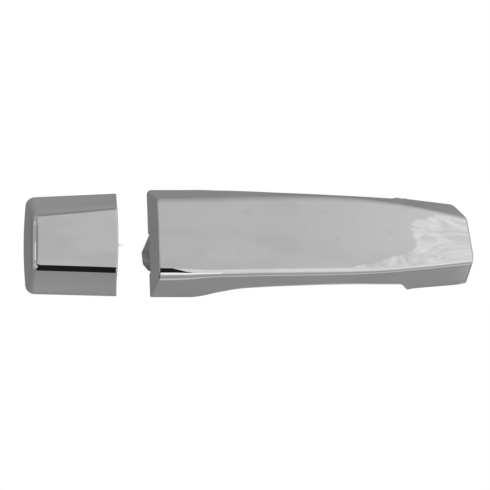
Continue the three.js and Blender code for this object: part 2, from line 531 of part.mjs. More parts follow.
// ---- return spring round the shaft, one leg on the chassis and one on the crank ----
{
  const points = [];
  const angle = THREE.MathUtils.degToRad(CRANK_REST);
  const outwards = [-Math.cos(angle), Math.sin(angle)];
  const up = [Math.sin(angle), Math.cos(angle)];
  const crankSide = (x, off, run) => new THREE.Vector3(
    x, CRANK.y + outwards[0] * off + up[0] * run, CRANK.z + outwards[1] * off + up[1] * run);
  points.push(crankSide(CRANK_LO - 0.5, 7.2, 13), crankSide(CRANK_HI, 7.2, 13));
  points.push(crankSide(SPRING.from, 5.4, 9), crankSide(SPRING.from, SPRING.r, 3));
  const swept = angle + 2 * Math.PI * SPRING.turns;
  const count = 10 * SPRING.turns;
  for (let i = 0; i <= count; i += 1) {
    const a = Math.PI + angle - swept * (i / count);
    const x = THREE.MathUtils.lerp(SPRING.from, SPRING.to, i / count);
    points.push(new THREE.Vector3(x, CRANK.y + SPRING.r * Math.cos(a), CRANK.z - SPRING.r * Math.sin(a)));
  }
  [[0, 1.5], [0.2, 0.3], [1.2, 0], [3.8, 0]].forEach(([out, rise]) => {
    points.push(new THREE.Vector3(SPRING.to + out, SPRING_ANCHOR[0], SPRING_ANCHOR[1] + rise));
  });
  const path = new THREE.CatmullRomCurve3(points);
  const wire = new THREE.Shape().absarc(0, 0, SPRING.wire, 0, 2 * Math.PI);
  const options = { steps: points.length * 2, curveSegments: 3, extrudePath: path, bevelEnabled: false };
  addPiece('return_spring', solid(new THREE.ExtrudeGeometry(wire, options)), STEEL);
}

// ---- rubber stop that the crank rests on ----
addPiece('stop_bumper', bar('y', [CRANK_X, PLATE + 0.05, WEIGHT[1]], 1.7, 3, 16), RUBBER);

export default handle;
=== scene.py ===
"""Car door handle: finishes, fine surfaces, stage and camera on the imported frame."""
import json
import math

import bmesh
import bpy
import numpy as np
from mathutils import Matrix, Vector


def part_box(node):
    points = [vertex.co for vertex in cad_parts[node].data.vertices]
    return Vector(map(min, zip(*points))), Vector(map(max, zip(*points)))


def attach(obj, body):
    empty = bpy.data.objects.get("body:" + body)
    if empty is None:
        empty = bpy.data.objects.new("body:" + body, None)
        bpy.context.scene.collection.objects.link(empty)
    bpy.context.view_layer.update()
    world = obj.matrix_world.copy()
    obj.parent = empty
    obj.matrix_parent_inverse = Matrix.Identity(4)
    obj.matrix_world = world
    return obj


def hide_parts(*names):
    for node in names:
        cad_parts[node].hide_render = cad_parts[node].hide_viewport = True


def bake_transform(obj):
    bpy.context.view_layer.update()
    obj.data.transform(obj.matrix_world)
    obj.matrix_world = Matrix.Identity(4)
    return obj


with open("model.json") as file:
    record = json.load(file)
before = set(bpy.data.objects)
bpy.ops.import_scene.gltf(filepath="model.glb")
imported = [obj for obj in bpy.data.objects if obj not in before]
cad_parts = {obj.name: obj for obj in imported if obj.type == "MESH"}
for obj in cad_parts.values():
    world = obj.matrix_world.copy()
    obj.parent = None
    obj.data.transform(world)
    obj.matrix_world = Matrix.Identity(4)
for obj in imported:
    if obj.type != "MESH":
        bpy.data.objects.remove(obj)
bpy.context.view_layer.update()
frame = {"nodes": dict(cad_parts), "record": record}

bl_info = {
    "name": "Car Door Handle",
    "version": (1, 0, 0),
    "blender": (4, 5, 0),
    "location": "3D View > Sidebar > Door Handle",
    "description": "Builds the looks of a chrome pull-type car door handle",
    "category": "Object",
}

MM = 0.001
RIM_SOFT = 0.35  # how far the covers' rims are rounded, mm
CHASSIS = "chassis_assembly"
GRIP = "grip_assembly"


# ---------------------------------------------------------------- settings
class HandleShapeSettings(bpy.types.PropertyGroup):
    """Sizes of the chromed covers, within the solids they stand for."""

    grip_left: bpy.props.FloatProperty(
        name="Grip's free end", description="Place of the rim at the free end, mm", default=-92.0,
    )
    grip_right: bpy.props.FloatProperty(
        name="Grip's tip", description="Place of the tapered tip, mm", default=91.85,
    )
    rim: bpy.props.FloatProperty(name="Rim", description="Depth of the covers' rims, mm", default=-3.0)
    wall: bpy.props.FloatProperty(
        name="Cover wall", description="Wall of the chromed covers, mm", default=2.3, min=1.0, max=2.4,
    )
    end_lean: bpy.props.FloatProperty(
        name="End lean", description="How far the free end leans back for each mm of depth", default=0.172,
    )
    end_slant: bpy.props.FloatProperty(
        name="End slant", description="How far the free end leans back for each mm of height, at the face",
        default=0.036,
    )
    top_round: bpy.props.FloatProperty(
        name="Upper edge radius", description="Radius between the face and the upper bevel, mm", default=2.9,
        min=0.3,
    )
    low_round: bpy.props.FloatProperty(
        name="Lower edge radius",
        description="Radius between the face and the lower bevel at the free end, mm", default=5.2, min=0.3,
    )
    cap_low_round: bpy.props.FloatProperty(
        name="Cap's lower edge radius", description="Radius between the cap's face and its lower bevel, mm",
        default=2.3, min=0.3,
    )


class HandleFinishSettings(bpy.types.PropertyGroup):
    """Colours of the finishes."""

    chrome: bpy.props.FloatVectorProperty(
        name="Chrome", description="Reflectance of the bright chrome plating", subtype="COLOR", size=3,
        default=(0.90, 0.905, 0.915), min=0, max=1,
    )
    moulding: bpy.props.FloatVectorProperty(
        name="Black moulding", description="Colour of the grip's and the cap's cores", subtype="COLOR",
        size=3, default=(0.018, 0.018, 0.020), min=0, max=1,
    )
    chassis: bpy.props.FloatVectorProperty(
        name="Chassis nylon", description="Colour of the glass-filled chassis", subtype="COLOR", size=3,
        default=(0.80, 0.80, 0.79), min=0, max=1,
    )
    casting: bpy.props.FloatVectorProperty(
        name="Zinc casting", description="Colour of the die-cast arms and crank", subtype="COLOR", size=3,
        default=(0.44, 0.44, 0.445), min=0, max=1,
    )


class HandleStageSettings(bpy.types.PropertyGroup):
    """Camera and floor."""

    distance: bpy.props.FloatProperty(
        name="Camera distance", description="From the middle of the handle", default=12.0, unit="LENGTH",
    )
    frame_width: bpy.props.FloatProperty(
        name="Frame width", description="Width that the camera takes in at the handle", default=0.2752,
        unit="LENGTH",
    )
    aim_x: bpy.props.FloatProperty(
        name="Aim, across", description="Middle of the camera's frame, across", default=-0.0367,
        unit="LENGTH",
    )
    aim_z: bpy.props.FloatProperty(
        name="Aim, up", description="Middle of the camera's frame, up", default=-0.00070, unit="LENGTH",
    )
    floor_height: bpy.props.FloatProperty(
        name="Floor height", description="Height of the floor below the handle", default=-0.2, unit="LENGTH",
    )


# ---------------------------------------------------------------- shapes by rule
def smooth(points):
    """Smooth curve through (place, value) pairs, as a function of place."""
    xs, ys = np.array(points, float).T
    slopes = np.gradient(ys, xs)

    def at(x):
        x = np.clip(x, xs[0], xs[-1])
        i = np.clip(np.searchsorted(xs, x) - 1, 0, len(xs) - 2)
        h = xs[i + 1] - xs[i]
        t = (x - xs[i]) / h
        return (
            ys[i] * (1 + 2 * t) * (1 - t) ** 2
            + slopes[i] * h * t * (1 - t) ** 2
            + ys[i + 1] * t * t * (3 - 2 * t)
            + slopes[i + 1] * h * t * t * (t - 1)
        )

    return at


def straight(points):
    """Straight runs through (place, value) pairs, as a function of place."""
    xs, ys = np.array(points, float).T
    return lambda x: np.interp(x, xs, ys)


def mix(a, b, t):
    """Between a and b, by a share t."""
    return a + (b - a) * t


def curl(d):
    """Share of a bevel's height at a share of its depth: the rim turns square to the door."""
    return 1.04 * d * d / (np.abs(d) + 0.04)


def rounded(a, b, r):
    """Both of two half spaces, with a rounded edge between them."""
    inside = np.minimum(np.maximum(a, b), -r)
    return inside + np.hypot(np.maximum(a + r, 0), np.maximum(b + r, 0))


def settle(points, field, held, level=0.0, steps=14):
    """Moves points onto the surface where field equals level; held points keep their depth."""
    p = points.copy()
    h = 0.01  # reach of the measured slope, mm
    for _ in range(steps):
        value = field(p) - level
        grad = np.empty_like(p)
        for axis in range(3):
            d = np.zeros(3)
            d[axis] = h
            grad[:, axis] = (field(p + d) - field(p - d)) / (2 * h)
        grad[held, 1] = 0
        size = np.maximum((grad**2).sum(1), 0.05)
        p -= (value / size)[:, None] * grad
    return p


def box_grid(a_lines, b_lines, c_lines):
    """Open box of quads: a across, b up and c out from the rim to the face. Returns places and quads."""
    na, nb, nc = len(a_lines), len(b_lines), len(c_lines)
    index = {}
    places = []

    def vertex(i, j, k):
        key = (i, j, k)
        if key not in index:
            index[key] = len(places)
            places.append((a_lines[i], b_lines[j], c_lines[k]))
        return index[key]

    quads = []

    def quad(*corners):
        quads.append(tuple(vertex(*corner) for corner in corners))

    end_a, end_b, face = na - 1, nb - 1, nc - 1
    for i in range(end_a):
        for j in range(end_b):
            quad((i, j, face), (i + 1, j, face), (i + 1, j + 1, face), (i, j + 1, face))
    for i in range(end_a):
        for k in range(face):
            quad((i, 0, k), (i + 1, 0, k), (i + 1, 0, k + 1), (i, 0, k + 1))
            quad((i, end_b, k + 1), (i + 1, end_b, k + 1), (i + 1, end_b, k), (i, end_b, k))
    for j in range(end_b):
        for k in range(face):
            quad((0, j, k), (0, j, k + 1), (0, j + 1, k + 1), (0, j + 1, k))
            quad((end_a, j, k + 1), (end_a, j, k), (end_a, j + 1, k), (end_a, j + 1, k + 1))
    return np.array(places), quads


def cover_mesh(name, lines, place, field, wall):
    """Closed shell: the settled outer skin, an inner skin one wall inside it, and a softened rim."""
    params, quads = box_grid(*lines)
    rim = params[:, 2] == 0
    outer = settle(place(params), field, rim)
    inner = settle(outer, field, rim, -wall, steps=20)
    count = len(outer)
    faces = quads + [tuple(i + count for i in reversed(q)) for q in quads]
    edges = [edge for q in quads for edge in zip(q, q[1:] + q[:1])]
    known = set(edges)
    open_edges = [(a, b) for a, b in edges if (b, a) not in known]
    rim_ids = sorted({a for a, _ in open_edges})
    lift = {v: 2 * count + i for i, v in enumerate(rim_ids)}
    middle = mix(outer[rim_ids], inner[rim_ids], RIM_SOFT / wall)
    points = np.vstack([outer, inner, middle])
    points[rim_ids, 1] = outer[rim_ids, 1] - RIM_SOFT
    for a, b in open_edges:
        faces.append((b, a, lift[a], lift[b]))
        faces.append((lift[b], lift[a], a + count, b + count))
    mesh = bpy.data.meshes.new(name)
    mesh.from_pydata((points * MM).tolist(), [], faces)
    mesh.validate()
    fix = bmesh.new()
    fix.from_mesh(mesh)
    bmesh.ops.remove_doubles(fix, verts=fix.verts, dist=1e-7)
    bmesh.ops.recalc_face_normals(fix, faces=fix.faces)
    fix.to_mesh(mesh)
    fix.free()
    polish(mesh, 50)
    return link(bpy.data.objects.new(name, mesh))


def link(obj):
    bpy.context.scene.collection.objects.link(obj)
    return obj


def polish(mesh, angle=38):
    """Smooth shading, with sharp edges where faces meet at more than an angle in degrees."""
    mesh.polygons.foreach_set("use_smooth", [True] * len(mesh.polygons))
    mesh.set_sharp_from_angle(angle=math.radians(angle))


# Grip, mm: depth of the face, and height of each bevel where it would meet the face and the rim.
FACE = smooth([
    (-92, -36.6), (-70, -37.6), (-40, -38.2), (-5, -38.37), (25, -37.2), (48, -34.8), (70, -31.2),
    (92, -26.6),
])
TOP_CREASE = smooth([
    (-92, 24.9), (-70, 25.2), (-45, 25.7), (-17, 26.2), (10, 26.1), (26, 25.2), (42, 23.3), (55, 21.3),
    (75, 17.2), (92, 13.2),
])
LOW_CREASE = smooth([
    (-92, -18.95), (-76, -18.8), (-68, -18.6), (-59, -17.95), (-50, -17.6), (-30, -17.0), (-7, -16.6),
    (15, -16.2), (38, -15.5), (66, -13.2), (83, -11.2), (92, -10.1),
])
TOP_RIM_LEFT = smooth([
    (-92, 30.2), (-80, 30.25), (-69, 30.25), (-55, 30.9), (-41, 32.0), (-17, 31.0), (3, 29.6), (14, 28.8),
    (34, 27.8), (46, 27.1),
])
TOP_RIM_RIGHT = straight([(46, 27.2), (48.6, 27.9), (50.9, 27.2), (54.7, 25.15), (80.1, 22.0), (92, 20.5)])
LOW_RIM_LEFT = smooth([
    (-92, -30.05), (-80, -30.05), (-69, -30.05), (-55, -29.9), (-41, -30.3), (-10, -30.9), (14, -31.0),
    (34, -29.1), (46, -27.5),
])
LOW_RIM_RIGHT = straight([(46, -27.5), (51, -26.8), (54.7, -25.8), (58, -25.1), (87.9, -22.6), (92, -22.2)])
FINGER_LEFT = smooth([
    (-73, -3), (-69, -3.0), (-62, -5.2), (-52, -11.4), (-41, -16.9), (-28, -19.6), (-10, -21.5), (14, -22.5),
    (28, -20.8), (40, -17.6), (47, -15.4),
])
FINGER_RIGHT = straight([(47, -15.4), (50.8, -14.0), (51.4, -13.2), (54.5, -3.2), (54.9, -3.0)])

# Places along the grip, mm: where the rims' and the finger gap's curves turn to straight runs, the two
# ends of the gap, and the run that the grid covers.
RIM_TURN, FINGER_TURN = 46, 47
GAP_START, GAP_END = -69, 54.9
GRIP_START, GRIP_END = -92.0, 92.0
# Behind the tip the back edge tucks forward, by this much for each mm past its start.
TUCK_START, TUCK = 80, 3 / 16
# Notch for the lug in the free end's rim: its lower and upper height, and its depth.
NOTCH_LOW, NOTCH_HIGH, NOTCH_DEPTH = -16.3, 5.3, -6.5
# Free end: its depth, and the height at which its slant starts.
END_DEPTH, END_TOP = 33.5, 27.8
# Tip: height of its foremost point, how far each facet falls back for each mm of height, and where the
# upper corner's facet lies.
TIP_Z, TIP_UPPER, TIP_LOWER = -8.4, 4.0 / 22.7, 4.4 / 14.0
CORNER_Z, CORNER_BACK, TIP_CORNER = 14.3, 4.0, 8.0 / 7.9
# How far the face has fallen away at each of its edges.
CROWN = 0.55
# Cosines that turn a run along an axis into a distance square to each sloping side.
TIP_COS = (0.985, 0.954, 0.703)
TOP_COS, LOW_COS, END_COS = 0.985, 0.94, 0.982
CAP_TOP_COS, CAP_LOW_COS, CAP_END_COS, CAP_INNER_COS = 0.965, 0.93, 0.975, 0.997

# Radii of the edges along the grip, mm: places, shares of the set radius, then radii towards the tip.
LOW_ROUND_X = [-92, -76, -68, -59, -50, 5, 50, 92]
LOW_ROUND_SHARES, LOW_ROUND_TIP = [1.0, 0.94, 0.83, 0.62, 0.54], [2.5, 1.9, 1.6]
TOP_ROUND_X, TOP_ROUND_TIP = [-92, 20, 60, 92], [1.5, 1.1]
# Radii at the two ends: between the tip's facets, at its corner, from the tip to the sides, and from the
# free end to the upper bevel, the lower bevel and the face.
TIP_ROUND, CORNER_ROUND, TIP_SIDE_ROUND = 1.6, 1.0, 0.9
END_TOP_ROUND, END_LOW_ROUND, END_FACE_ROUND = 2.6, 0.8, 0.7


def top_rim(x):
    return np.where(x < RIM_TURN, TOP_RIM_LEFT(x), TOP_RIM_RIGHT(x))


def low_rim(x):
    return np.where(x < RIM_TURN, LOW_RIM_LEFT(x), LOW_RIM_RIGHT(x))


def finger_side(x):
    return np.where(x < FINGER_TURN, FINGER_LEFT(x), FINGER_RIGHT(x))


def crown(x, z):
    """How far the face falls away towards its upper and lower edges."""
    middle = (TOP_CREASE(x) + LOW_CREASE(x)) / 2
    half = (TOP_CREASE(x) - LOW_CREASE(x)) / 2
    return CROWN * np.clip((z - middle) / half, -1.2, 1.2) ** 2


def grip_back(x, rim):
    """Depth of the grip's back edge along its length."""
    tucked = rim - np.maximum(0, (x - TUCK_START) * TUCK)
    return np.where((x > GAP_START) & (x < GAP_END), np.minimum(finger_side(x), rim), tucked)


def tip_facets(z, right):
    """How far right the tip's upper, lower and corner facets reach at a height."""
    upper = right - (z - TIP_Z) * TIP_UPPER
    lower = right + (z - TIP_Z) * TIP_LOWER
    corner = right - CORNER_BACK - (z - CORNER_Z) * TIP_CORNER
    return upper, lower, corner


def free_end(shape, y, z):
    """Place of the grip's free end, which leans back with depth and downwards."""
    depth = (shape.rim - y) / END_DEPTH
    slant = shape.end_slant * mix(0.92, 1.0, depth)
    return shape.grip_left + shape.end_lean * (shape.rim - y) + slant * (END_TOP - z)


def grip_field(shape):
    def field(p):
        x, y, z = p.T
        face_y = FACE(x)
        depth = (shape.rim - y) / (shape.rim - face_y)
        face = face_y + crown(x, z) - y
        turned = curl(depth)
        top = (z - mix(top_rim(x), TOP_CREASE(x), turned)) * TOP_COS
        low = (mix(low_rim(x), LOW_CREASE(x), turned) - z) * LOW_COS
        left = (free_end(shape, y, z) - x) * END_COS
        facets = tip_facets(z, shape.grip_right)
        upper_tip, lower_tip, corner = ((x - reach) * cos for reach, cos in zip(facets, TIP_COS))
        low_rounds = [shape.low_round * share for share in LOW_ROUND_SHARES] + LOW_ROUND_TIP
        low_r = np.interp(x, LOW_ROUND_X, low_rounds)
        top_r = np.interp(x, TOP_ROUND_X, [shape.top_round, shape.top_round] + TOP_ROUND_TIP)
        tip = rounded(rounded(upper_tip, lower_tip, TIP_ROUND), corner, CORNER_ROUND)
        f = rounded(rounded(face, top, top_r), low, low_r)
        f = rounded(f, tip, TIP_SIDE_ROUND)
        corners = np.maximum(rounded(top, left, END_TOP_ROUND), rounded(low, left, END_LOW_ROUND))
        return np.maximum(rounded(f, left, END_FACE_ROUND), corners)

    return field


def grip_place(shape):
    def place(q):
        a, b, c = q.T
        x = mix(GRIP_START, GRIP_END, a)
        z = np.zeros_like(x)
        for _ in range(4):
            back = grip_back(x, shape.rim)
            notch = (a == 0) & (z < NOTCH_HIGH) & (z > NOTCH_LOW)
            back = np.where(notch, NOTCH_DEPTH, back)
            y = mix(back, FACE(x), c)
            depth = (shape.rim - y) / (shape.rim - FACE(x))
            low = mix(low_rim(x), LOW_CREASE(x), depth)
            top = mix(top_rim(x), TOP_CREASE(x), depth)
            z = mix(low, top, b)
            tip = np.minimum.reduce(tip_facets(z, shape.grip_right))
            x = mix(free_end(shape, y, z), tip, a)
        return np.stack([x, y, z], 1)

    return place


def grid_lines(*runs):
    """Grid lines from runs of (start, end, count), of which only the last keeps its end."""
    begun = [np.linspace(*run, endpoint=False) for run in runs[:-1]]
    return np.concatenate([*begun, np.linspace(*runs[-1])])


def grip_lines():
    """Grid lines of the grip's cover, close together where it bends."""
    foot = GAP_END + 1
    along = grid_lines(
        (-92, -88, 10), (-88, -70, 14), (-70, 44, 76), (44, foot, 40), (foot, 78, 22), (78, 92, 34),
    )
    a = (along - GRIP_START) / (GRIP_END - GRIP_START)
    end_low, end_height = -30.05, 60.5
    notch = [(z - end_low) / end_height for z in (-16.6, -16.2, 5.2, 5.6)]
    b = np.append(grid_lines((0, 0.03, 4), (0.03, 0.22, 17), (0.24, 0.86, 16), (0.86, 1, 14)), notch)
    return a, np.unique(np.round(b, 6)), grid_lines((0, 0.7, 12), (0.7, 1, 16))


# Cap, mm: its outer end and its inner end at the rim, the depth of its face, and the run over which the
# face falls back.
CAP_LEFT, CAP_RIGHT, CAP_FACE, CAP_SPAN = -161.25, -107.7, -35.95, 54.0
# Heights of its upper and lower bevels at the rim and at the face, each at the outer and the inner end.
CAP_TOP_RIM, CAP_TOP_FACE = (25.9, 28.3), (15.0, 20.3)
CAP_LOW_RIM, CAP_LOW_FACE = (-28.2, -29.6), (-13.4, -15.6)
CAP_LEDGE, CAP_BELLY = 0.42, 1.5  # swell of the upper bevel under the face, and hollow of the lower one
CAP_LEAN, CAP_BOW = 4.9, 0.8  # lean of the outer end over the whole depth, and its bow
CAP_INNER_LEAN, CAP_INNER_BOW = 1.3, 0.5
CAP_CORNERS = (4.4, 3.6)  # radii of the outer corners at the rim and at the face
CAP_TOP_ROUND, CAP_END_ROUND, CAP_INNER_ROUND = 1.6, 4.0, 0.7


def cap_face(x):
    """Depth of the cap's face, which falls back a little towards the outer end."""
    share = (CAP_RIGHT - x) / CAP_SPAN
    return CAP_FACE + 0.5 * share + 0.6 * share**2


def cap_sides(x, y, rim):
    """Share of the cap's depth, and the heights of its upper and lower bevels there."""
    share = (x - CAP_LEFT) / (CAP_RIGHT - CAP_LEFT)
    d = (rim - y) / (rim - CAP_FACE)
    turned = curl(d)
    ledge = CAP_LEDGE * (np.clip((d - 0.84) / 0.16, 0, 1) - 1) * np.clip((d - 0.35) / 0.4, 0, 1)
    top = mix(mix(*CAP_TOP_RIM, share), mix(*CAP_TOP_FACE, share), turned) - ledge
    low = mix(mix(*CAP_LOW_RIM, share), mix(*CAP_LOW_FACE, share), turned) + CAP_BELLY * d * (1 - d)
    return d, top, low


def cap_end(y, z, rim):
    """Outer end of the cap, bowed a little outwards."""
    d = (rim - y) / (rim - CAP_FACE)
    return CAP_LEFT + CAP_LEAN * d + CAP_BOW * ((z + 2) / 20) ** 2 * (1 - 0.5 * d)


def cap_inner(y, z, rim):
    """End of the cap that faces the grip."""
    d = (rim - y) / (rim - CAP_FACE)
    return CAP_RIGHT - CAP_INNER_LEAN * (1 - d) - CAP_INNER_BOW * ((z - 2) / 17) ** 2 * d


def cap_field(shape):
    def field(p):
        x, y, z = p.T
        d, top, low = cap_sides(x, y, shape.rim)
        face = cap_face(x) - y
        above = (z - top) * CAP_TOP_COS
        below = (low - z) * CAP_LOW_COS
        left = (cap_end(y, z, shape.rim) - x) * CAP_END_COS
        right = (x - cap_inner(y, z, shape.rim)) * CAP_INNER_COS
        corners = mix(*CAP_CORNERS, np.clip(d, 0, 1))
        sides = rounded(rounded(above, left, corners), below, corners)
        along = np.interp(z, [-8, 8], [shape.cap_low_round, CAP_TOP_ROUND])
        end_share = np.clip(0.5 + (left - np.maximum(above, below)) / 5, 0, 1)
        radius = mix(along, CAP_END_ROUND, end_share)
        return rounded(rounded(sides, face, radius), right, CAP_INNER_ROUND)

    return field


def cap_place(shape):
    def place(q):
        a, b, c = q.T
        x = mix(CAP_LEFT, CAP_RIGHT, a)
        for _ in range(4):
            y = mix(np.full_like(x, shape.rim), cap_face(x), c)
            _, top, low = cap_sides(x, y, shape.rim)
            z = mix(low, top, b)
            x = mix(cap_end(y, z, shape.rim), cap_inner(y, z, shape.rim), a)
        return np.stack([x, y, z], 1)

    return place


def cap_lines():
    """Grid lines of the cap's cover, close together where it bends."""
    a = grid_lines((0, 0.25, 24), (0.25, 0.94, 26), (0.94, 1, 10))
    b = grid_lines((0, 0.28, 26), (0.28, 0.74, 16), (0.74, 1, 24))
    return a, b, grid_lines((0, 0.75, 12), (0.75, 1, 16))


# ---------------------------------------------------------------- finishes
class Wiring:
    """Small helper that adds nodes to a tree and feeds their inputs."""

    def __init__(self, tree):
        self.tree = tree

    def feed(self, socket, value):
        """Gives an input a link when the value is an output, and a plain value otherwise."""
        if isinstance(value, bpy.types.NodeSocket):
            self.tree.links.new(value, socket)
        else:
            socket.default_value = value

    def node(self, kind, settings=None, **inputs):
        made = self.tree.nodes.new(kind)
        for key, value in (settings or {}).items():
            setattr(made, key, value)
        for key, value in inputs.items():
            self.feed(made.inputs[key.replace("_", " ")], value)
        return made

    def maths(self, operation, a, b=0.0):
        made = self.node("ShaderNodeMath", {"operation": operation})
        self.feed(made.inputs[0], a)
        self.feed(made.inputs[1], b)
        return made.outputs[0]

    def band(self, source, low, high, frm=0.3, to=0.7, kind="LINEAR"):
        """Maps a source from one range onto another, held at both ends."""
        fit = self.node("ShaderNodeMapRange", {"interpolation_type": kind}, Value=source,
                        From_Min=frm, From_Max=to, To_Min=low, To_Max=high)
        return fit.outputs["Result"]


class Finish(Wiring):
    """Procedural material on the Principled shader."""

    def __init__(self, name):
        self.material = bpy.data.materials.new(name)
        self.material.use_nodes = True
        super().__init__(self.material.node_tree)
        self.shader = self.tree.nodes["Principled BSDF"]
        self.coords = self.node("ShaderNodeTexCoord").outputs["Object"]

    def set(self, **values):
        for key, value in values.items():
            self.shader.inputs[key.replace("_", " ")].default_value = value
        return self

    def noise(self, scale, detail, stretch=(1, 1, 1)):
        mapping = self.node("ShaderNodeMapping", Vector=self.coords, Scale=stretch)
        noise = self.node("ShaderNodeTexNoise", Vector=mapping.outputs["Vector"], Scale=scale,
                          Detail=detail, Roughness=0.55)
        return noise.outputs["Fac"]

    def tint(self, source, dark, light):
        ramp = self.node("ShaderNodeValToRGB", Fac=source)
        for stop, place, colour in zip(ramp.color_ramp.elements, (0.3, 0.7), (dark, light)):
            stop.position = place
            stop.color = (*colour, 1)
        self.feed(self.shader.inputs["Base Color"], ramp.outputs["Color"])
        return self

    def rough(self, source, low, high):
        self.feed(self.shader.inputs["Roughness"], self.band(source, low, high))
        return self

    def bump(self, *layers):
        """Layers of (height source, distance in metres)."""
        last = None
        for source, distance in layers:
            bump = self.node("ShaderNodeBump", Strength=1.0, Distance=distance, Height=source)
            if last:
                self.feed(bump.inputs["Normal"], last)
            last = bump.outputs["Normal"]
        self.feed(self.shader.inputs["Normal"], last)
        return self


def shade(colour, factor):
    return tuple(min(1.0, c * factor) for c in colour)


def make_finishes(colours):
    chrome = Finish("bright_chrome_plating").set(Metallic=1.0)
    fine = chrome.band(chrome.noise(190, 5), 0.0, 1.0, 0.30, 0.40)
    broad = chrome.band(chrome.noise(34, 6, (0.5, 1, 1.5)), 0.0, 1.0, 0.25, 0.6)
    smear = chrome.maths("MINIMUM", fine, broad)
    chrome.tint(smear, shade(colours.chrome, 0.93), tuple(colours.chrome))
    chrome.rough(chrome.noise(38, 5), 0.012, 0.045)
    chrome.bump((chrome.noise(22, 1.5, (1, 1, 1.5)), 0.00003))

    black = Finish("grained_black_moulding").set(Specular_IOR_Level=0.45)
    black.tint(black.noise(130, 5), tuple(colours.moulding), shade(colours.moulding, 1.6))
    black.rough(black.noise(90, 4), 0.42, 0.62)
    black.bump((black.noise(2600, 2), 0.00006), (black.noise(60, 2), 0.00004))

    nylon = Finish("glass_filled_nylon").set(Subsurface_Weight=0.04)
    flow = nylon.noise(75, 6, (0.35, 1, 1.4))
    nylon.tint(flow, shade(colours.chassis, 0.93), shade(colours.chassis, 1.05))
    nylon.rough(nylon.noise(420, 3), 0.4, 0.58)
    nylon.bump((nylon.noise(1500, 3, (0.3, 1, 1)), 0.00005), (nylon.noise(45, 2), 0.00005))

    white = Finish("natural_nylon").set(Subsurface_Weight=0.12)
    white.tint(white.noise(160, 4), (0.74, 0.73, 0.68), (0.82, 0.815, 0.78))
    white.rough(white.noise(300, 3), 0.35, 0.5)
    white.bump((white.noise(1800, 2), 0.00003))

    rubber = Finish("moulded_rubber").set(Specular_IOR_Level=0.35)
    rubber.tint(rubber.noise(220, 6), (0.012, 0.012, 0.013), (0.03, 0.03, 0.031))
    rubber.rough(rubber.noise(150, 4), 0.68, 0.88)
    rubber.bump((rubber.noise(1900, 3), 0.00008))

    casting = Finish("zinc_casting").set(Metallic=1.0)
    casting.tint(casting.noise(240, 6), shade(colours.casting, 0.82), shade(colours.casting, 1.12))
    casting.rough(casting.noise(380, 4), 0.34, 0.52)
    casting.bump((casting.noise(1300, 4), 0.00008), (casting.noise(120, 2), 0.00006))

    steel = Finish("zinc_plated_steel").set(Metallic=1.0)
    steel.tint(steel.noise(310, 3), (0.58, 0.585, 0.58), (0.70, 0.695, 0.67))
    steel.rough(steel.noise(900, 3, (1, 1, 0.3)), 0.2, 0.36)
    steel.bump((steel.noise(2200, 2), 0.00002))

    spring = Finish("oiled_spring_steel").set(Metallic=1.0)
    spring.tint(spring.noise(500, 4), (0.20, 0.20, 0.21), (0.33, 0.325, 0.32))
    spring.rough(spring.noise(800, 3), 0.22, 0.4)
    spring.bump((spring.noise(2400, 2), 0.00003))

    brass = Finish("turned_brass").set(Metallic=1.0)
    brass.tint(brass.noise(350, 4), (0.60, 0.43, 0.18), (0.72, 0.55, 0.27))
    brass.rough(brass.noise(700, 3), 0.24, 0.4)
    brass.bump((brass.noise(1600, 2), 0.00003))
    return {
        "chrome": chrome.material, "core_plastic": black.material, "chassis_nylon": nylon.material,
        "white_nylon": white.material, "rubber": rubber.material, "zinc_casting": casting.material,
        "steel": steel.material, "spring": spring.material, "brass": brass.material,
    }


def finish(name):
    """The material kept under a finish's name."""
    return bpy.data.materials[bpy.context.scene["handle_finishes"][name]]


def dress(obj, slot):
    """Gives a piece the finish kept under the name of the slot that it stands for."""
    obj.data.materials.clear()
    obj.data.materials.append(finish(slot))


# ---------------------------------------------------------------- pieces from their solids
BEVEL_ANGLE = 32  # edges sharper than this are softened, degrees


def slot_of(node):
    return next(s["material_slot"] for s in frame["record"]["subparts"] if s["node"] == node)


def body_of(node):
    bodies = frame["record"]["behaviour"]["bodies"]
    return next(b for b, members in bodies.items() if node in members)


def softened(node, width, segments=3):
    """Copy of a solid with merged faces and softened edges, which replaces it."""
    name = node + "_fine"
    mesh = frame["nodes"][node].data.copy()
    mesh.name = name
    work = bmesh.new()
    work.from_mesh(mesh)
    bmesh.ops.remove_doubles(work, verts=work.verts, dist=2e-6)
    bmesh.ops.dissolve_limit(work, angle_limit=math.radians(1.0), verts=work.verts, edges=work.edges)
    work.to_mesh(mesh)
    work.free()
    polish(mesh, BEVEL_ANGLE)
    piece = link(bpy.data.objects.new(name, mesh))
    bevel = piece.modifiers.new("Softened edges", "BEVEL")
    bevel.width = width * MM
    bevel.segments = segments
    bevel.limit_method = "ANGLE"
    bevel.angle_limit = math.radians(BEVEL_ANGLE)
    bevel.use_clamp_overlap = True
    plain = evaluated_mesh(piece)
    piece.modifiers.clear()
    piece.data = plain
    polish(plain)
    dress(piece, slot_of(node))
    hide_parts(node)
    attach(piece, body_of(node))
    return piece


def evaluated_mesh(obj):
    """Plain mesh of an object with its modifiers applied."""
    bpy.context.view_layer.update()
    return bpy.data.meshes.new_from_object(obj.evaluated_get(bpy.context.evaluated_depsgraph_get()))


